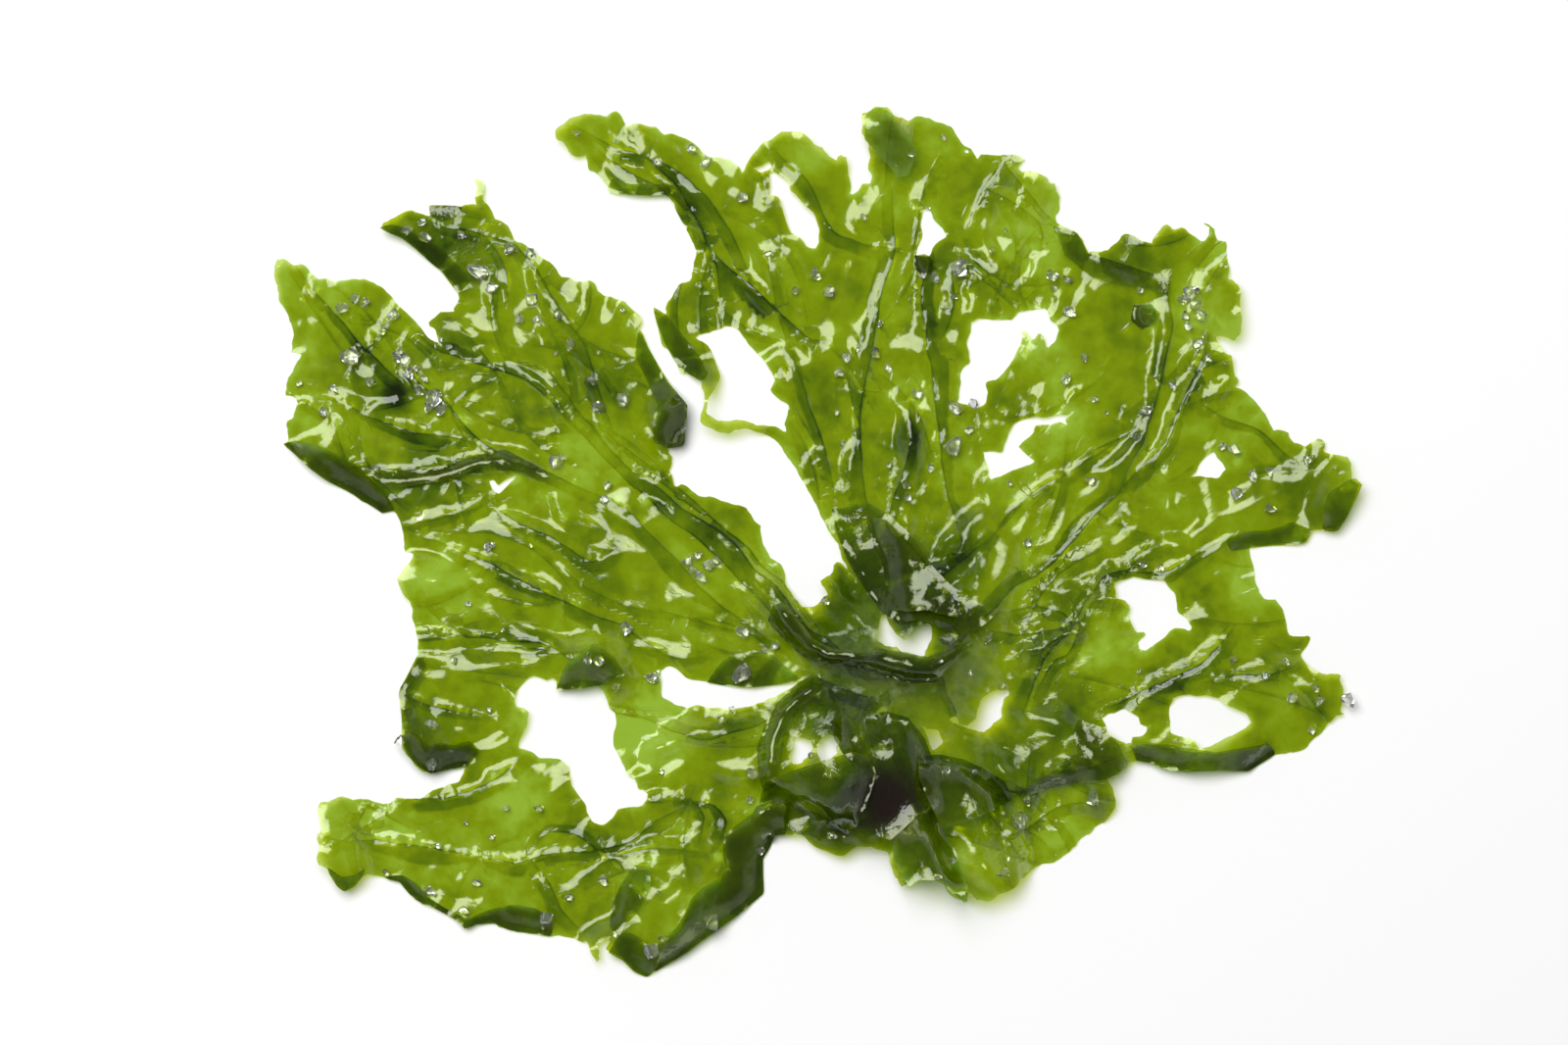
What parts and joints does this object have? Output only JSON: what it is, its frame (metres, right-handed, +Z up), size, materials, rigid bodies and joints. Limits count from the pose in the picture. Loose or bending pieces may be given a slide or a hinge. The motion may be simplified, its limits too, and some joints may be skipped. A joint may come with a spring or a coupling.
{
  "type": "sea lettuce frond",
  "caption": "Salted sea lettuce frond lying flat: one thin, glossy, see-through green blade, torn into lobes and holes, creased towards its holdfast and folded over at its margins.",
  "frame": {"origin": "under the middle of the blade, on the surface that it lies on", "axes": "+X towards the right tip along the blade's longest side, +Y towards the upper fingers, +Z up out of the surface"},
  "size_m": [0.15, 0.12, 0.01],
  "materials": {
    "film": "wet gloss, see-through green",
    "salt": "clear broken crystals"
  },
  "bodies": {
    "root": {"frond": "film"}
  },
  "joints": []
}
